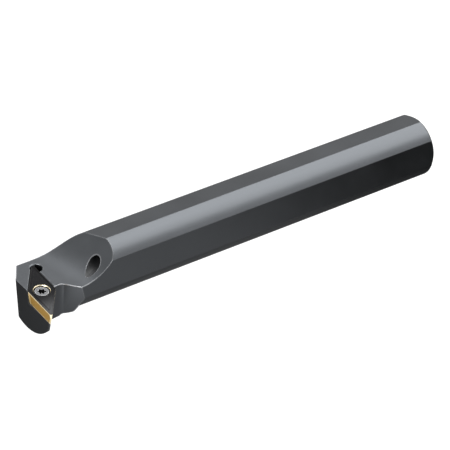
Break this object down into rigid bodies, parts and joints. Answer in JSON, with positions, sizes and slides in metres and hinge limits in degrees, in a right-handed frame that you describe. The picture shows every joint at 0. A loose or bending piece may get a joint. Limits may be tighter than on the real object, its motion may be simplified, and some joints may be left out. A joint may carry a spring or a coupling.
{
  "type": "boring bar",
  "caption": "Indexable boring bar: a flatted round shank with a tilted rhombic insert, held by a countersunk screw, and an internal coolant bore with an angled exit.",
  "frame": {"origin": "centre of the rear end face, on the shank axis, where coolant enters", "axes": "+X out of the rear end along the shank axis, +Z square to the top flat, the cutting nose at the -X end reaching towards -Y"},
  "size_m": [0.1208, 0.0201, 0.0173],
  "materials": {
    "bar_steel": "dark blackened satin steel, paler where edges are broken",
    "insert_carbide": "coated hard metal, gold flanks and a black rake face",
    "screw_steel": "bright machined steel"
  },
  "bodies": {
    "root": {"bar": "bar_steel", "insert": "insert_carbide", "clamping_screw": "screw_steel"}
  },
  "joints": []
}
